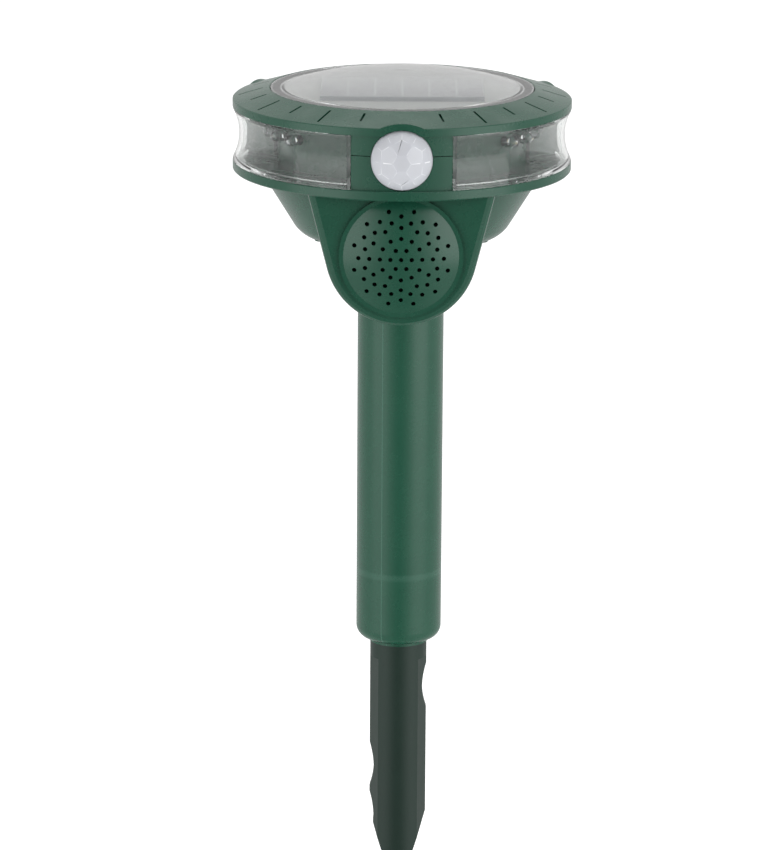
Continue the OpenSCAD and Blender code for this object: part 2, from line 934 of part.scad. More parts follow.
module button_switch() {
    color("#3b3e40") turned(button_turn) {
        front_box(3, control_at - 3, control_at + 3, bowl_z + 5.4, control_z);
        translate([0, -control_at, bowl_z + 4.7]) cylinder(r = 1.6, h = 1);
    }
}

module usb_socket() {
    color("#c4c7c8") turned(usb_turn) difference() {
        front_box(4.5, control_at - 1.65, control_at + 1.65, bowl_z + 0.4, control_z);
        front_box(4.1, control_at - 1.25, control_at + 1.25, bowl_z, control_z - 1);
    }
}

module usb_cover() {
    color("#1f2624") turned(usb_turn) difference() {
        union() {
            front_box(6.8, control_at - 3.6, control_at + 3.4, bowl_z - 1.8, bowl_z - 0.15);
            front_box(3.8, control_at - 0.8, control_at + 0.8, bowl_z - 0.3, bowl_z + 0.9);
            front_box(4.2, control_at + 3, control_at + 6, bowl_z - 1.8, bowl_z - 0.8);
            translate([-4.2, -control_at - 6, bowl_z - 1.3])
                rotate([0, 90, 0]) cylinder(r = 1.15, h = 8.4, $fn = 32);
        }
        translate([-10, -control_at - 6, bowl_z - 1.3])
            rotate([0, 90, 0]) cylinder(r = 0.85, h = 20, $fn = 24);
    }
}

module cover_pin() {
    color("#b9bcbd") turned(usb_turn) translate([-6.8, -control_at - 6, bowl_z - 1.3])
        rotate([0, 90, 0]) cylinder(r = 0.8, h = 13.6, $fn = 24);
}

// ---- screws ----------------------------------------------------------------------

// Pan-head screw pointing up, with its head's top face at z = 0
module pan_screw(shank_r, shank_h, head_rad) {
    difference() {
        translate([0, 0, -2]) cylinder(r = head_rad, h = 2);
        translate([-0.5, -head_rad, -3]) cube([1, 2 * head_rad, 1.7]);
    }
    translate([0, 0, -0.01]) cylinder(r = shank_r, h = shank_h);
}

module case_screws() {
    color("#8f9496") for (turn = boss_turns) turned(turn)
        translate([0, -boss_at, screw_seat]) pan_screw(1.25, 20, 2.8);
}

module cover_screws() {
    color("#8f9496") for (turn = post_turns, side = [-1, 1]) turned(turn)
        translate([side * cover_screw_x, -cover_screw_r, band_z])
            pan_screw(0.9, 3.6, 1.9);
}

// ---- nodes -----------------------------------------------------------------------

ground_stake();
pole();
lower_shell();
upper_shell();
top_cover();
panel_dome();
dome_gasket();
solar_panel();
panel_tray();
window(-60);  // window_left
window(60);  // window_right
window(180);  // window_rear
pir_lens(0);  // pir_lens_front
pir_lens(-120);  // pir_lens_left
pir_lens(120);  // pir_lens_right
pir_sensor(0);  // pir_sensor_front
pir_sensor(-120);  // pir_sensor_left
pir_sensor(120);  // pir_sensor_right
pir_board(0);  // pir_board_front
pir_board(-120);  // pir_board_left
pir_board(120);  // pir_board_right
leds(led_turns_left);  // leds_left
leds(led_turns_right);  // leds_right
leds(led_turns_rear);  // leds_rear
led_leads();
led_board();
speaker_grille();
speaker_frame();
speaker_cone();
speaker_seal();
speaker_screws();
speaker_lead();
panel_lead();
main_board();
controller_chip();
boost_coil();
capacitors();
battery_box();
battery_cells();
battery_contacts();
control_board();
mode_knob();
mode_switch();
power_button();
button_switch();
usb_socket();
usb_cover();
cover_pin();
case_screws();
cover_screws();
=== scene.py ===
# %% [markdown]
# A solar animal repeller for the garden: a round head with a domed solar panel, three clear
# windows with flashing lights, three sensor posts and a loudspeaker pod, on a pole that plugs
# onto a ground stake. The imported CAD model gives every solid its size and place. This file
# adds the finishes, the light, and the fine pieces that are too small or too soft for CAD.
# The frame is loaded first, and its box is kept, so that the looks can be held inside it.

import json
import math

import bmesh
import bpy
from mathutils import Matrix, Vector


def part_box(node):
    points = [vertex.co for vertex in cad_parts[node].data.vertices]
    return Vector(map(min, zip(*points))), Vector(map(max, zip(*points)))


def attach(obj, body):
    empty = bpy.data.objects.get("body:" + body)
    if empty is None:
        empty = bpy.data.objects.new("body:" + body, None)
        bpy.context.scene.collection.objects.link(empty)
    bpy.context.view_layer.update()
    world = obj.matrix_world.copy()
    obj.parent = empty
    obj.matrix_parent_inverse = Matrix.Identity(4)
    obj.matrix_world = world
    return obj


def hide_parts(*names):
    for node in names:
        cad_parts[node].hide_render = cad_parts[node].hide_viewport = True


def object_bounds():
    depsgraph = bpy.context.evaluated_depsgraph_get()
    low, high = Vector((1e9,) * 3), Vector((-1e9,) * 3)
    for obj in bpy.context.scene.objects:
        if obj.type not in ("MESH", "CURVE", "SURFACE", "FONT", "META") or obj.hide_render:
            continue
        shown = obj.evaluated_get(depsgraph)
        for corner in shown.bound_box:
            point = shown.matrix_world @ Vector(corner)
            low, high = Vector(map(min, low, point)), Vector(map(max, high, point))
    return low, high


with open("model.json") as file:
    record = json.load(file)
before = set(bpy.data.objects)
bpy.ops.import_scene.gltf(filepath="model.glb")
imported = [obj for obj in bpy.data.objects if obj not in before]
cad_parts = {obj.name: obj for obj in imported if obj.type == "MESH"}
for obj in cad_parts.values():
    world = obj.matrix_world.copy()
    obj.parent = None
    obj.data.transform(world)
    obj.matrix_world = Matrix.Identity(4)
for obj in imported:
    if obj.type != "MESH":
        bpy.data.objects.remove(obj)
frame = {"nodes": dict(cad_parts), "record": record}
nodes = frame["nodes"]
cad_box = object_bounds()
print("nodes:", len(nodes), "box:", [tuple(round(c, 4) for c in p) for p in cad_box])

# %% [markdown]
# The camera stands about two metres off and a little above the head, looking slightly down, so
# that the cover shows as a flat ellipse. A long lens keeps the pole's sides parallel. It is
# placed with two turns and a small roll instead of a target, so that nothing moves it later.

# %% Camera
camera_data = bpy.data.cameras.new("studio_camera")
camera_data.sensor_width = 36
camera_data.lens = 190.26
camera_data.clip_start, camera_data.clip_end = 0.05, 40
camera = bpy.data.objects.new("studio_camera", camera_data)
bpy.context.scene.collection.objects.link(camera)
look = Matrix.Rotation(math.radians(0.157), 4, "Z") @ Matrix.Rotation(math.radians(75.39), 4, "X")
camera.matrix_world = (
    Matrix.Translation((0, -1.8926, 0.5904)) @ look @ Matrix.Rotation(math.radians(0.37), 4, "Z")
)
bpy.context.scene.camera = camera
print("camera at", tuple(round(c, 3) for c in camera.matrix_world.translation))

# %% [markdown]
# A plain pale floor lies just under the stake's tip and runs far back, so that no edge shows.
# The light is a plain studio: white walls all round, with a narrow dark gap where the camera
# stands, which is what leaves a dark line down the middle of a glossy pole. Two soft-edged
# glows on the walls make the reflections beside it, and three soft boxes fill the shadows.

# %% Floor and light
def soft_box(name, place, target, size, power):
    """A rectangular area light at a place, turned to its target."""
    data = bpy.data.lights.new(name, "AREA")
    data.shape = "RECTANGLE"
    data.size, data.size_y = size
    data.energy = power
    lamp = bpy.data.objects.new(name, data)
    lamp.location = place
    lamp.rotation_euler = (Vector(target) - Vector(place)).to_track_quat("-Z", "Y").to_euler()
    bpy.context.scene.collection.objects.link(lamp)
    return lamp


bm = bmesh.new()
bmesh.ops.create_grid(bm, x_segments=1, y_segments=1, size=12)
bmesh.ops.translate(bm, verts=bm.verts, vec=(0, 0, cad_box[0].z - 0.0005))
floor_mesh = bpy.data.meshes.new("studio_floor")
bm.to_mesh(floor_mesh)
bm.free()
studio_floor = bpy.data.objects.new("studio_floor", floor_mesh)
bpy.context.scene.collection.objects.link(studio_floor)
paper = bpy.data.materials.new("studio_paper")
paper.use_nodes = True
paper_shader = paper.node_tree.nodes["Principled BSDF"]
paper_shader.inputs["Base Color"].default_value = (0.96, 0.96, 0.96, 1)
paper_shader.inputs["Roughness"].default_value = 0.9
paper_shader.inputs["Emission Color"].default_value = (1, 1, 1, 1)
paper_shader.inputs["Emission Strength"].default_value = 0.35
floor_mesh.materials.append(paper)
studio_floor.visible_glossy = False

soft_box("left_box", (-1.5, -1.0, 0.45), (0, 0, 0.15), (1.5, 1.8), 6)
soft_box("right_box", (1.5, -1.0, 0.5), (0, 0, 0.15), (1.5, 1.8), 8)
soft_box("top_box", (0.1, 0.4, 1.6), (0, 0, 0.2), (1.4, 1.2), 7)

world = bpy.data.worlds.new("studio")
world.use_nodes = True
sky = world.node_tree


def sky_node(kind, values, **settings):
    """A node of the studio's walls, its inputs set or linked."""
    node = sky.nodes.new(kind)
    for setting, value in settings.items():
        setattr(node, setting, value)
    for socket, value in values.items():
        if isinstance(value, bpy.types.NodeSocket):
            sky.links.new(value, node.inputs[socket])
        else:
            node.inputs[socket].default_value = value
    return node.outputs[0]


toward = sky.nodes.new("ShaderNodeTexCoord").outputs["Generated"]
parts = sky.nodes.new("ShaderNodeSeparateXYZ")
sky.links.new(toward, parts.inputs[0])
aside = sky_node("ShaderNodeMath", {0: parts.outputs["X"]}, operation="ABSOLUTE")
beside = sky_node("ShaderNodeMapRange", {0: aside, 1: 0.05, 2: 0.55})
behind = sky_node("ShaderNodeMapRange", {0: parts.outputs["Y"], 1: -0.5, 2: 0.3})
open_wall = sky_node("ShaderNodeMath", {0: beside, 1: behind}, operation="MAXIMUM")
wall_light = sky_node("ShaderNodeMapRange", {0: open_wall, 1: 0.0, 2: 1.0, 3: 0.1, 4: 0.75})


def glow(direction, peak):
    """A soft-edged bright patch of wall in a direction."""
    facing = sky.nodes.new("ShaderNodeVectorMath")
    facing.operation = "DOT_PRODUCT"
    sky.links.new(toward, facing.inputs[0])
    facing.inputs[1].default_value = Vector(direction).normalized()
    return sky_node(
        "ShaderNodeMapRange", {0: facing.outputs["Value"], 1: 0.72, 2: 1.0, 3: 0.0, 4: peak},
        interpolation_type="SMOOTHSTEP",
    )


glows = sky_node(
    "ShaderNodeMath", {0: glow((-0.8, -0.6, 0.22), 0.7), 1: glow((0.8, -0.6, 0.25), 1.0)},
    operation="ADD",
)
all_light = sky_node("ShaderNodeMath", {0: wall_light, 1: glows}, operation="ADD")
sky.links.new(all_light, sky.nodes["Background"].inputs["Strength"])
sky.nodes["Background"].inputs["Color"].default_value = (1, 1, 1, 1)
bpy.context.scene.world = world
bpy.context.scene.view_settings.view_transform = "Standard"
print("floor at", round(cad_box[0].z, 4), "with", len(bpy.data.lights), "soft boxes")

# %% [markdown]
# Every finish starts from the same few steps, so they are small helpers: a fresh material with
# its shader's plain values, a node with its inputs set, and a ramp between two colours.

# %% Helpers for finishes
def linear(red, green, blue):
    """A colour given as on screen, 0 to 255, in the linear values that shaders use."""
    def one(c):
        c = c / 255
        return c / 12.92 if c <= 0.04045 else ((c + 0.055) / 1.055) ** 2.4
    return (one(red), one(green), one(blue), 1)


def finish(name, **plain):
    """A material, its tree and its shader; plain values go straight onto the shader."""
    made = bpy.data.materials.new(name)
    made.use_nodes = True
    shader = made.node_tree.nodes["Principled BSDF"]
    for socket, value in plain.items():
        shader.inputs[socket.replace("_", " ")].default_value = value
    return made, made.node_tree, shader


def add(tree, kind, values=None, **settings):
    """A node of a kind with its settings, its inputs set or linked."""
    node = tree.nodes.new(kind)
    for setting, value in settings.items():
        setattr(node, setting, value)
    for socket, value in (values or {}).items():
        if isinstance(value, bpy.types.NodeSocket):
            tree.links.new(value, node.inputs[socket])
        else:
            node.inputs[socket].default_value = value
    return node


def object_place(tree):
    return add(tree, "ShaderNodeTexCoord").outputs["Object"]


def blend_colours(tree, factor, dark, light):
    """A colour that runs from dark to light as the factor rises; both may be linked."""
    return add(tree, "ShaderNodeMix", {0: factor, 6: dark, 7: light}, data_type="RGBA").outputs[2]


def colour_so_far(shader):
    """The socket that the shader's base colour comes from."""
    return shader.inputs["Base Color"].links[0].from_socket


def between(tree, factor, low, high):
    """A value that runs from low to high as the factor rises from 0 to 1."""
    return add(tree, "ShaderNodeMapRange", {0: factor, 3: low, 4: high}).outputs[0]


# %% [markdown]
# Moulded plastic is never quite even: the mould's spark-eroded grain breaks up its highlights,
# and slow flow gives it faint mottling. Several finishes need that, so it is one shader group
# with its scale and depth as inputs. It gives out a mask and a normal, and each material
# decides what to do with them. A second group does the same for brushed or plated metal, and
# a third for the light dust that settles on faces that look up.

# %% Shared groups
def shared_group(name, inputs, outputs):
    """An empty shader group with the sockets named."""
    tree = bpy.data.node_groups.new(name, "ShaderNodeTree")
    for socket, start in inputs.items():
        made = tree.interface.new_socket(socket, in_out="INPUT", socket_type="NodeSocketFloat")
        made.default_value = start
    for socket, kind in outputs.items():
        tree.interface.new_socket(socket, in_out="OUTPUT", socket_type=kind)
    return tree, tree.nodes.new("NodeGroupInput"), tree.nodes.new("NodeGroupOutput")


grain, grain_in, grain_out = shared_group(
    "mould_grain", {"Scale": 900.0, "Depth": 0.1},
    {"Mottle": "NodeSocketFloat", "Normal": "NodeSocketVector"},
)
place = object_place(grain)
fine = add(grain, "ShaderNodeTexNoise", {"Vector": place, "Detail": 3.0, "Roughness": 0.6})
grain.links.new(grain_in.outputs["Scale"], fine.inputs["Scale"])
slow = add(grain, "ShaderNodeTexNoise", {"Vector": place, "Scale": 70.0, "Detail": 8.0, "Roughness": 0.7})
bump = add(grain, "ShaderNodeBump", {"Height": fine.outputs["Fac"], "Distance": 0.0002})
grain.links.new(grain_in.outputs["Depth"], bump.inputs["Strength"])
grain.links.new(slow.outputs["Fac"], grain_out.inputs["Mottle"])
grain.links.new(bump.outputs["Normal"], grain_out.inputs["Normal"])

plating, plating_in, plating_out = shared_group(
    "plated_lines", {"Scale": 600.0, "Depth": 0.08},
    {"Lines": "NodeSocketFloat", "Normal": "NodeSocketVector"},
)
stretched = add(plating, "ShaderNodeMapping", {"Vector": object_place(plating), "Scale": (1, 1, 0.06)})
streak = add(plating, "ShaderNodeTexNoise", {"Vector": stretched.outputs[0], "Detail": 4.0})
plating.links.new(plating_in.outputs["Scale"], streak.inputs["Scale"])
bump = add(plating, "ShaderNodeBump", {"Height": streak.outputs["Fac"], "Distance": 0.0001})
plating.links.new(plating_in.outputs["Depth"], bump.inputs["Strength"])
plating.links.new(streak.outputs["Fac"], plating_out.inputs["Lines"])
plating.links.new(bump.outputs["Normal"], plating_out.inputs["Normal"])

dust, dust_in, dust_out = shared_group(
    "settled_dust", {"Amount": 0.3}, {"Mask": "NodeSocketFloat"}
)
facing = add(dust, "ShaderNodeSeparateXYZ", {0: add(dust, "ShaderNodeNewGeometry").outputs["Normal"]})
upward = add(dust, "ShaderNodeMapRange", {0: facing.outputs["Z"], 1: 0.5, 2: 1.0})
patches = add(dust, "ShaderNodeTexNoise", {"Vector": object_place(dust), "Scale": 60.0, "Detail": 4.0})
patch = add(dust, "ShaderNodeMapRange", {0: patches.outputs["Fac"], 1: 0.42, 2: 0.68})
both = add(dust, "ShaderNodeMath", {0: upward.outputs[0], 1: patch.outputs[0]}, operation="MULTIPLY")
scaled = add(dust, "ShaderNodeMath", {0: both.outputs[0]}, operation="MULTIPLY")
dust.links.new(dust_in.outputs["Amount"], scaled.inputs[1])
dust.links.new(scaled.outputs[0], dust_out.inputs["Mask"])
print("shared groups:", [g.name for g in bpy.data.node_groups])


def use_group(tree, group, **values):
    node = tree.nodes.new("ShaderNodeGroup")
    node.node_tree = group
    for socket, value in values.items():
        node.inputs[socket].default_value = value
    return node


# %% [markdown]
# One recipe makes all the plain mouldings: a base colour that drifts a little with the mottle,
# a roughness that varies with it, and the grain as a bump. What differs from piece to piece is
# the colour, how glossy it is and how coarse the mould was, so those are its arguments.

# %% Moulded plastics
def moulded(name, dark, light, gloss, scale=900.0, depth=0.1, dusty=0.0, **plain):
    """A moulded plastic or rubber between two close shades; gloss is (low, high) roughness."""
    made, tree, shader = finish(name, **plain)
    mould = use_group(tree, grain, Scale=scale, Depth=depth)
    colour = blend_colours(tree, mould.outputs["Mottle"], dark, light)
    if dusty:
        film = use_group(tree, dust, Amount=dusty)
        colour = blend_colours(tree, film.outputs["Mask"], colour, linear(176, 182, 176))
    tree.links.new(colour, shader.inputs["Base Color"])
    tree.links.new(between(tree, mould.outputs["Mottle"], *gloss), shader.inputs["Roughness"])
    tree.links.new(mould.outputs["Normal"], shader.inputs["Normal"])
    return made, tree, shader


finishes = {}
finishes["green_shell"] = moulded(
    "green_shell", linear(18, 67, 50), linear(24, 77, 58), (0.22, 0.32), 1400.0, 0.10, 0.06
)[0]
finishes["tray_plastic"] = moulded(
    "tray_plastic", linear(196, 199, 196), linear(214, 216, 213), (0.45, 0.6)
)[0]
finishes["black_plastic"] = moulded(
    "black_plastic", linear(26, 28, 28), linear(36, 38, 38), (0.4, 0.55), 1600.0, 0.2
)[0]
finishes["speaker_black"] = moulded(
    "speaker_black", linear(30, 31, 32), linear(42, 43, 44), (0.5, 0.65), 1100.0, 0.2
)[0]
finishes["seal_rubber"] = moulded(
    "seal_rubber", linear(24, 25, 25), linear(34, 35, 35), (0.7, 0.85), 2200.0, 0.3
)[0]
finishes["pale_silicone"] = moulded(
    "pale_silicone", linear(196, 200, 200), linear(212, 215, 215), (0.45, 0.6), 900.0, 0.1
)[0]
finishes["button_red"] = moulded(
    "button_red", linear(150, 34, 30), linear(172, 46, 40), (0.35, 0.5), 1500.0, 0.15
)[0]
finishes["capacitor_sleeve"] = moulded(
    "capacitor_sleeve", linear(34, 46, 84), linear(44, 58, 100), (0.25, 0.35), 1200.0, 0.06
)[0]
print("moulded finishes:", sorted(finishes))

# %% [markdown]
# The pole is the same green as the head. A thin witness line runs down it where the mould
# halves met, and a faint paler ring goes round it above the foot: a painted highlight, the
# bright arc where its rounded lip catches the light. Both are masks on the pole's own
# coordinates: the line is a narrow wedge of angle, the painted highlight a narrow span of
# height. Both are added to the colour, and the line to the bump as well, so they need no geometry.

# %% Pole finish
witness_turn = math.radians(-156)
lip_highlight_height = 0.0327
pole_finish, tree, shader = moulded(
    "green_pole", linear(20, 71, 53), linear(26, 81, 61), (0.22, 0.32), 1400.0, 0.10
)
spot = add(tree, "ShaderNodeSeparateXYZ", {0: object_place(tree)})
angle = add(tree, "ShaderNodeMath", {0: spot.outputs["X"], 1: spot.outputs["Y"]}, operation="ARCTAN2")
off_line = add(tree, "ShaderNodeMath", {0: angle.outputs[0], 1: witness_turn}, operation="SUBTRACT")
width = add(tree, "ShaderNodeMath", {0: off_line.outputs[0]}, operation="ABSOLUTE")
witness = add(tree, "ShaderNodeMapRange", {0: width.outputs[0], 1: 0.006, 2: 0.016, 3: 1.0, 4: 0.0})
# Painted highlight: a narrow span of height above the foot is painted paler, standing in for the light
# caught by the pole's lip.
off_lip_highlight = add(tree, "ShaderNodeMath", {0: spot.outputs["Z"], 1: lip_highlight_height}, operation="SUBTRACT")
lip_highlight_gap = add(tree, "ShaderNodeMath", {0: off_lip_highlight.outputs[0]}, operation="ABSOLUTE")
lip_highlight = add(tree, "ShaderNodeMapRange", {0: lip_highlight_gap.outputs[0], 1: 0.0008, 2: 0.0018, 3: 0.35, 4: 0.0})
# The paler colour below carries both the real witness line and the painted highlight of the lip.
line_and_highlight = add(tree, "ShaderNodeMath", {0: witness.outputs[0], 1: lip_highlight.outputs[0]}, operation="MAXIMUM")
faint = add(tree, "ShaderNodeMath", {0: line_and_highlight.outputs[0], 1: 0.3}, operation="MULTIPLY")
paler = blend_colours(tree, faint.outputs[0], colour_so_far(shader), linear(96, 140, 124))
tree.links.new(paler, shader.inputs["Base Color"])
ridge = add(tree, "ShaderNodeBump", {"Height": witness.outputs[0], "Distance": 0.0001, "Strength": 0.4})
tree.links.new(shader.inputs["Normal"].links[0].from_socket, ridge.inputs["Normal"])
tree.links.new(ridge.outputs["Normal"], shader.inputs["Normal"])
finishes["green_pole"] = pole_finish

finishes["green_stake"] = moulded(
    "green_stake", linear(4, 34, 24), linear(7, 41, 30), (0.4, 0.55), 800.0, 0.15
)[0]
print("pole and stake finishes made")

# %% [markdown]
# The windows and the dome are clear moulded plastic. Real transmission with the plastic's own
# refraction gives their bright edges, and very fine scratches keep them from looking like
# water. The metallic and transmission values stay plain numbers, and only the roughness moves.

# %% Clear plastics
def clear(name, tint, refraction, haze):
    """Clear moulded plastic; haze is the roughness where it is worn least and most."""
    made, tree, shader = finish(
        name, Base_Color=tint, IOR=refraction, Transmission_Weight=1.0, Metallic=0.0
    )
    mould = use_group(tree, grain, Scale=260.0, Depth=0.02)
    tree.links.new(between(tree, mould.outputs["Mottle"], *haze), shader.inputs["Roughness"])
    tree.links.new(mould.outputs["Normal"], shader.inputs["Normal"])
    return made


finishes["clear_window"] = clear("clear_window", linear(252, 254, 253), 1.42, (0.005, 0.03))
finishes["clear_dome"] = clear("clear_dome", linear(250, 251, 251), 1.5, (0.03, 0.09))
finishes["led_lens"] = clear("led_lens", linear(250, 250, 252), 1.52, (0.02, 0.05))
print("clear plastics made")

# %% [markdown]
# The sensor lenses are milky polythene, which lets heat through but blurs light. Light enters
# and scatters a little, so it is a pale surface with some scattering underneath and a soft
# gloss. The ridges between its facets are thicker and look whiter, so they get their own shade.

# %% Milky lens
finishes["milky_lens"] = moulded(
    "milky_lens", linear(184, 186, 192), linear(194, 196, 202), (0.16, 0.26), 700.0, 0.05,
    Subsurface_Weight=0.25, Subsurface_Radius=(0.9, 0.9, 1.0), Subsurface_Scale=0.003,
)[0]
ridge_finish = moulded(
    "lens_ridge", linear(222, 224, 228), linear(232, 233, 236), (0.2, 0.3), 700.0, 0.05,
    Subsurface_Weight=0.25, Subsurface_Radius=(0.9, 0.9, 1.0), Subsurface_Scale=0.003,
)[0]

# %% [markdown]
# The solar panel is a sheet of dark cells under clear resin. Each cell is a tile with a bright
# collector line along its edges and finer lines across it. A brick pattern gives the tiles, and
# a wave gives the fine lines, both in the panel's own coordinates. The coat is the resin.

# %% Solar cells
cell_finish, tree, shader = finish("solar_cell", Coat_Weight=1.0, Coat_Roughness=0.06)
flat = add(tree, "ShaderNodeMapping", {"Vector": object_place(tree), "Location": (0.0345, 0.0255, 0)})
tiles = add(
    tree, "ShaderNodeTexBrick",
    {
        "Vector": flat.outputs[0], "Color1": linear(30, 36, 62), "Color2": linear(38, 44, 74),
        "Mortar": linear(168, 172, 178), "Scale": 1.0, "Mortar Size": 0.0004,
        "Mortar Smooth": 0.2, "Brick Width": 0.0115, "Row Height": 0.0255,
    },
    offset=0.0,
)
fingers = add(
    tree, "ShaderNodeTexWave", {"Vector": flat.outputs[0], "Scale": 330.0}, bands_direction="Y"
)
thin = add(tree, "ShaderNodeMapRange", {0: fingers.outputs["Fac"], 1: 0.93, 2: 1.0, 3: 0.0, 4: 0.35})
lined = blend_colours(tree, thin.outputs[0], tiles.outputs["Color"], linear(150, 156, 166))
tree.links.new(lined, shader.inputs["Base Color"])
tree.links.new(between(tree, thin.outputs[0], 0.22, 0.4), shader.inputs["Roughness"])
finishes["solar_cell"] = cell_finish
print("solar cells: tiles of 11.5 by 25.5 mm")

# %% [markdown]
# A circuit board is glass cloth under green lacquer, with copper tracks that show as slightly
# lighter, raised lines. A cell pattern with sharp borders makes a convincing maze of tracks.

# %% Circuit boards
board_finish, tree, shader = finish("circuit_board", Coat_Weight=0.4, Coat_Roughness=0.15)
maze = add(
    tree, "ShaderNodeTexVoronoi",
    {"Vector": object_place(tree), "Scale": 260.0, "Randomness": 0.75},
    feature="DISTANCE_TO_EDGE", distance="EUCLIDEAN",
)
track = add(tree, "ShaderNodeMapRange", {0: maze.outputs["Distance"], 1: 0.05, 2: 0.09, 3: 1.0, 4: 0.0})
tree.links.new(
    blend_colours(tree, track.outputs[0], linear(18, 84, 46), linear(44, 126, 74)),
    shader.inputs["Base Color"],
)
tree.links.new(between(tree, track.outputs[0], 0.42, 0.3), shader.inputs["Roughness"])
raised = add(tree, "ShaderNodeBump", {"Height": track.outputs[0], "Distance": 0.00005, "Strength": 0.5})
tree.links.new(raised.outputs["Normal"], shader.inputs["Normal"])
finishes["circuit_board"] = board_finish

# %% [markdown]
# Plated and drawn metals share one recipe: fully metallic, with the fine streaks of the group
# above moving both the shade and the roughness. Screws are duller than the sensor cans.

# %% Metals
def metal(name, dark, light, gloss, scale=600.0, depth=0.1):
    """A plated metal between two shades; gloss is (low, high) roughness."""
    made, tree, shader = finish(name, Metallic=1.0)
    lines = use_group(tree, plating, Scale=scale, Depth=depth)
    tree.links.new(
        blend_colours(tree, lines.outputs["Lines"], dark, light), shader.inputs["Base Color"]
    )
    tree.links.new(between(tree, lines.outputs["Lines"], *gloss), shader.inputs["Roughness"])
    tree.links.new(lines.outputs["Normal"], shader.inputs["Normal"])
    return made


finishes["bright_metal"] = metal(
    "bright_metal", linear(196, 198, 198), linear(224, 225, 225), (0.16, 0.3)
)
finishes["screw_steel"] = metal(
    "screw_steel", linear(158, 162, 164), linear(190, 193, 194), (0.28, 0.45), 900.0
)
finishes["copper_coil"] = metal(
    "copper_coil", linear(168, 96, 52), linear(206, 130, 78), (0.24, 0.4), 1500.0, 0.3
)
print("metals made")

# %% [markdown]
# The last few finishes each have one feature of their own. Cell sleeves are printed film with a
# paler band at one end, the cone is pressed paper with a coarse grain, and the two leads are
# one red and one black, told apart by the side of the middle on which they run.

# %% Cells, cone and leads
sleeve, tree, shader = moulded(
    "cell_sleeve", linear(64, 138, 66), linear(74, 150, 76), (0.2, 0.3), 500.0, 0.04
)
spot = add(tree, "ShaderNodeSeparateXYZ", {0: object_place(tree)})
band = add(tree, "ShaderNodeMapRange", {0: spot.outputs["Y"], 1: 0.0128, 2: 0.0132})
banded = blend_colours(tree, band.outputs[0], colour_so_far(shader), linear(206, 208, 204))
tree.links.new(banded, shader.inputs["Base Color"])
finishes["cell_sleeve"] = sleeve

finishes["cone_paper"] = moulded(
    "cone_paper", linear(150, 144, 122), linear(178, 171, 146), (0.75, 0.9), 1800.0, 0.5
)[0]

lead, tree, shader = moulded(
    "lead_insulation", linear(150, 28, 26), linear(172, 40, 36), (0.4, 0.55), 900.0, 0.08
)
spot = add(tree, "ShaderNodeSeparateXYZ", {0: object_place(tree)})
side = add(tree, "ShaderNodeMapRange", {0: spot.outputs["X"], 1: -0.0001, 2: 0.0001})
pair = blend_colours(tree, side.outputs[0], linear(26, 26, 28), colour_so_far(shader))
tree.links.new(pair, shader.inputs["Base Color"])
finishes["lead_insulation"] = lead
print("finishes:", len(finishes))

# %% [markdown]
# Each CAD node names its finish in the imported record, so one loop dresses them all. The meshes
# stay as they are: only what fills their slots changes.

# %% Dress the CAD nodes
for part in frame["record"]["subparts"]:
    mesh = nodes[part["node"]].data
    mesh.materials.clear()
    mesh.materials.append(finishes[part["material_slot"]])


# %% [markdown]
# New pieces all end the same way: the working mesh becomes an object at the origin, with its
# finish, on its body. Round pieces are made lying on the axis and then sent to their place by
# one turn about the head's axis, as the three posts are.

# %% Helpers for pieces
def piece(name, bm, slot_name, body="head", smooth=35, recalc=True):
    """Turns a working mesh into a finished piece that rides on a body."""
    bmesh.ops.remove_doubles(bm, verts=bm.verts, dist=1e-7)
    if recalc:
        bmesh.ops.recalc_face_normals(bm, faces=bm.faces)
    mesh = bpy.data.meshes.new(name)
    bm.to_mesh(mesh)
    bm.free()
    mesh.materials.append(finishes[slot_name])
    made = bpy.data.objects.new(name, mesh)
    bpy.context.scene.collection.objects.link(made)
    if smooth:
        for face in mesh.polygons:
            face.use_smooth = True
        mesh.set_sharp_from_angle(angle=math.radians(smooth))
    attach(made, body)
    return made


def about(turn):
    """The turn about the head's axis that brings a front piece to its direction."""
    return Matrix.Rotation(math.radians(turn), 4, "Z")


def outward(radius, height):
    """Stands a piece made along +Z on the front, pointing out along the radius."""
    return Matrix.Translation((0, -radius, height)) @ Matrix.Rotation(math.radians(90), 4, "X")


def disc(bm, radius, start, end, place, segments=48, top=None):
    """A cylinder or cone along +Z between two heights, put in place."""
    return bmesh.ops.create_cone(
        bm, cap_ends=True, segments=segments, radius1=radius,
        radius2=radius if top is None else top, depth=end - start,
        matrix=place @ Matrix.Translation((0, 0, (start + end) / 2)),
    )["verts"]

# %% [markdown]
# Each sensor lens is moulded with flat facets that throw the sensor's view in several
# directions: one in the middle, six round it and a scalloped outer ring. The CAD dome is
# smooth, so a merged copy of it is cut. A plane just inside the dome slices a cap off, and the
# hole it leaves is filled with one flat face. That is how a gem is cut, and it keeps the wall.

# %% Facets of the sensor lenses
def mean_of(node):
    low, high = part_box(node)
    return (low + high) / 2


def facet_directions():
    """Unit vectors round +Z: one, then six, then twelve, with each ring's depth of cut."""
    found = [(Vector((0, 0, 1)), 0.00050)]
    for lean, count, depth in ((28, 6, 0.00050), (51, 12, 0.00034)):
        for i in range(count):
            turn = Matrix.Rotation(math.radians(360 * (i + 0.5) / count), 3, "Z")
            tilt = Matrix.Rotation(math.radians(lean), 3, "Y")
            found.append((turn @ tilt @ Vector((0, 0, 1)), depth))
    return found


lens_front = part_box("pir_lens_front")[0].y
lens_height = mean_of("pir_sensor_front").z
lens_r = 0.01275
lens_rise = 0.0085
ball_r = (lens_r ** 2 + lens_rise ** 2) / (2 * lens_rise)
ball_at = -lens_front - ball_r
print("lens ball:", round(ball_r * 1000, 2), "mm, centre at", round(ball_at * 1000, 2))

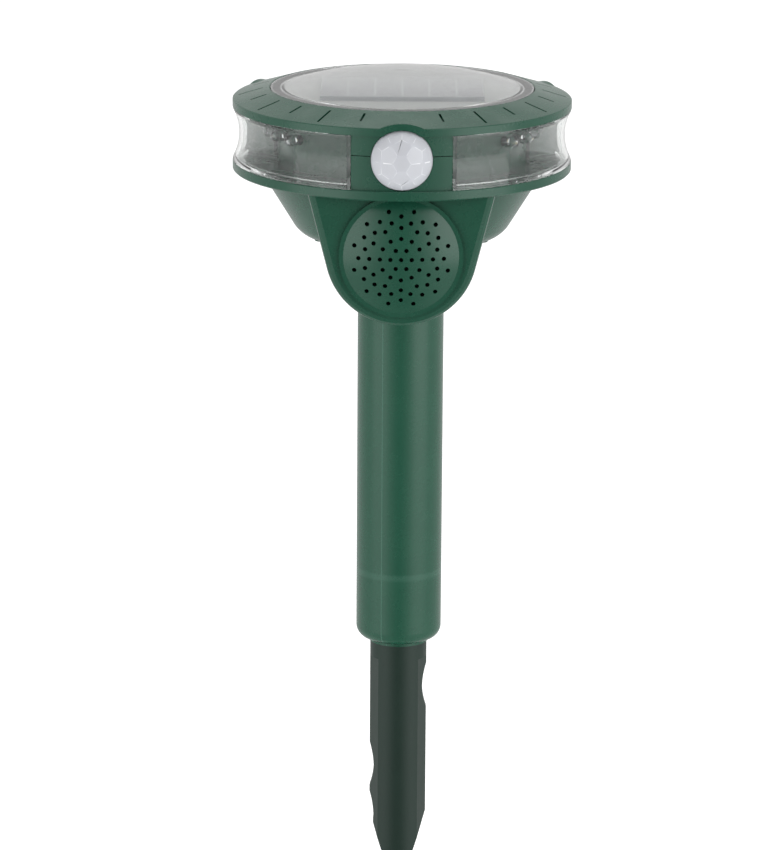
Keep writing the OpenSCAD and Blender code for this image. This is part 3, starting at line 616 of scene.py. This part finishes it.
for name, turn in (("front", 0), ("right", 120), ("left", 240)):
    node = "pir_lens_" + name
    if abs(Vector(mean_of(node).xy).angle_signed(Vector((about(turn) @ Vector((0, -1, 0))).xy))) > 0.2:
        turn = -turn
    to_head = about(turn) @ outward(ball_at, lens_height)
    bm = bmesh.new()
    bm.from_mesh(nodes[node].data)
    bmesh.ops.remove_doubles(bm, verts=bm.verts, dist=1e-6)
    bmesh.ops.transform(bm, matrix=to_head.inverted(), verts=bm.verts)
    for normal, depth in facet_directions():
        cut = bmesh.ops.bisect_plane(
            bm, geom=bm.verts[:] + bm.edges[:] + bm.faces[:], dist=1e-7,
            plane_co=normal * (ball_r - depth), plane_no=normal, clear_outer=True,
        )
        loop = [e for e in cut["geom_cut"] if isinstance(e, bmesh.types.BMEdge)]
        bmesh.ops.edgeloop_fill(bm, edges=loop)
    bmesh.ops.remove_doubles(bm, verts=bm.verts, dist=1e-5)
    bm.normal_update()
    whole = {
        f for f in bm.faces for normal, depth in facet_directions()
        if f.normal.dot(normal) > 0.9999
        and abs(f.calc_center_median().dot(normal) - ball_r + depth) < 2e-6
    }
    ridges = [e for e in bm.edges if len(e.link_faces) == 2 and all(f in whole for f in e.link_faces)]
    facets, ridge_count = len(whole), len(ridges)
    bmesh.ops.bevel(
        bm, geom=ridges, offset=0.00035, segments=1, profile=0.5, affect="EDGES", material=1
    )
    bmesh.ops.transform(bm, matrix=to_head, verts=bm.verts)
    lens = piece("sensor_lens_" + name, bm, "milky_lens", smooth=24, recalc=False)
    lens.data.materials.append(ridge_finish)
    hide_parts(node)
    print(lens.name, "with", facets, "facets,", ridge_count, "ridges")

# %% [markdown]
# Inside each clear light a silvery cup holds the tiny lit chip, and a second post carries the
# wire to it. They are what sparkles behind the windows. A cup is a cone pushed in at its top:
# the top face is inset and then moved down inside, which leaves a bright bowl.

# %% Cups and posts of the lights
light_height = mean_of("leds_rear").z
light_foot = 0.0512
cup_aside = 0.0006
light_turns = [side * (54 + 12 * i) for side in (-1, 1) for i in range(4)] + [162, 174, 186, 198]
bm = bmesh.new()
for turn in light_turns:
    place = about(turn) @ outward(light_foot, light_height)
    cup_place = place @ Matrix.Translation((cup_aside, 0, 0))
    verts = disc(bm, 0.0005, 0.0, 0.0042, cup_place, 20, top=0.0011)
    bm.faces.ensure_lookup_table()
    axis = (cup_place.to_3x3() @ Vector((0, 0, 1))).normalized()
    top = max({f for v in verts for f in v.link_faces}, key=lambda f: f.calc_center_median().dot(axis))
    bmesh.ops.inset_region(bm, faces=[top], thickness=0.0002)
    bmesh.ops.translate(bm, verts=top.verts, vec=axis * -0.0008)
    bmesh.ops.scale(
        bm, verts=top.verts, vec=(0.5, 0.5, 0.5),
        space=Matrix.Translation(-top.calc_center_median()),
    )
    disc(bm, 0.00035, 0.0, 0.0040, place @ Matrix.Translation((-0.0012, 0, 0)), 12)
cups = piece("light_cups", bm, "bright_metal", smooth=30)
print("cups:", len(light_turns), "faces:", len(cups.data.polygons))

bm = bmesh.new()
for turn in light_turns:
    place = about(turn) @ outward(light_foot, light_height)
    place = place @ Matrix.Translation((cup_aside, 0, 0.0037))
    bmesh.ops.create_cube(bm, size=0.0005, matrix=place)
chips = piece("light_chips", bm, "led_lens", smooth=0)
chip_finish, tree, shader = finish("light_chip", Roughness=0.4)
dots = add(tree, "ShaderNodeTexNoise", {"Vector": object_place(tree), "Scale": 9000.0})
tree.links.new(
    blend_colours(tree, dots.outputs["Fac"], linear(236, 214, 120), linear(250, 240, 190)),
    shader.inputs["Base Color"],
)
chips.data.materials[0] = chip_finish

# %% [markdown]
# Behind the loudspeaker's sound holes lies a thin black cloth that keeps the rain out. It is
# a flat disc, because the grille presses it flat, and its weave is two crossed waves of bump.

# %% Rain cloth behind the grille
seal_front = -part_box("speaker_seal")[0].y
grille_mid = mean_of("speaker_seal").z
cloth_back = seal_front - 0.0006
cloth_finish, tree, shader = finish("rain_cloth", Sheen_Weight=0.2)
across = add(
    tree, "ShaderNodeTexWave", {"Vector": object_place(tree), "Scale": 420.0}, bands_direction="X"
)
along = add(
    tree, "ShaderNodeTexWave", {"Vector": object_place(tree), "Scale": 420.0}, bands_direction="Z"
)
weave = add(
    tree, "ShaderNodeMath", {0: across.outputs["Fac"], 1: along.outputs["Fac"]}, operation="MULTIPLY"
)
tree.links.new(
    blend_colours(tree, weave.outputs[0], linear(12, 13, 13), linear(40, 42, 42)),
    shader.inputs["Base Color"],
)
tree.links.new(between(tree, weave.outputs[0], 0.95, 0.75), shader.inputs["Roughness"])
threads = add(tree, "ShaderNodeBump", {"Height": weave.outputs[0], "Distance": 0.0001, "Strength": 0.6})
tree.links.new(threads.outputs["Normal"], shader.inputs["Normal"])
bm = bmesh.new()
disc(bm, 0.0195, 0.0, 0.0002, outward(cloth_back, grille_mid), 96)
cloth = piece("rain_cloth", bm, "speaker_black")
cloth.data.materials[0] = cloth_finish
print("cloth disc at", round(cloth_back * 1000, 2), "mm from the axis")

# %% [markdown]
# A bare board looks unfinished, so the three sensor boards and the main board get small parts:
# resistors and capacitors as bevelled blocks about two millimetres long. They sit on the
# board's face at round spacings, which is how a designer lays them out.

# %% Small parts on the boards
def block(bm, size, place):
    """A bevelled block of a size, standing on the place's own plane."""
    made = bmesh.ops.create_cube(
        bm, size=1, matrix=place @ Matrix.Translation((0, 0, size[2] / 2)) @ Matrix.Diagonal((*size, 1))
    )["verts"]
    edges = {e for v in made for e in v.link_edges}
    bmesh.ops.bevel(
        bm, geom=list(edges), offset=min(size) * 0.15, segments=2, profile=0.5, affect="EDGES",
        material=-1,
    )


board_face = -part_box("pir_board_front")[0].y
bm = bmesh.new()
for name in ("front", "left", "right"):
    centre = mean_of("pir_board_" + name)
    out = Vector((centre.x, centre.y, 0)).normalized()
    turn = math.degrees(math.atan2(out.x, -out.y))
    for across, up in ((-8, 3), (-8, 0), (-8, -3), (8, 3), (8, 0), (8, -3), (-3, -8), (0, -8), (3, -8)):
        spot = about(turn) @ outward(board_face, lens_height) @ Matrix.Translation(
            (across / 1000, up / 1000, 0)
        )
        block(bm, (0.0022, 0.0012, 0.0008), spot)
sensor_parts = piece("sensor_board_parts", bm, "black_plastic", smooth=30)

main_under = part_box("main_board")[0].z
bm = bmesh.new()
for row in range(3):
    for column in range(5):
        spot = Matrix.Translation((-0.0275 + 0.004 * column, 0.0295 + 0.003 * row, main_under))
        block(bm, (0.002, 0.0012, 0.0008), spot @ Matrix.Rotation(math.pi, 4, "X"))
main_parts = piece("main_board_parts", bm, "black_plastic", smooth=30)
print("board parts:", len(sensor_parts.data.polygons) + len(main_parts.data.polygons), "faces")
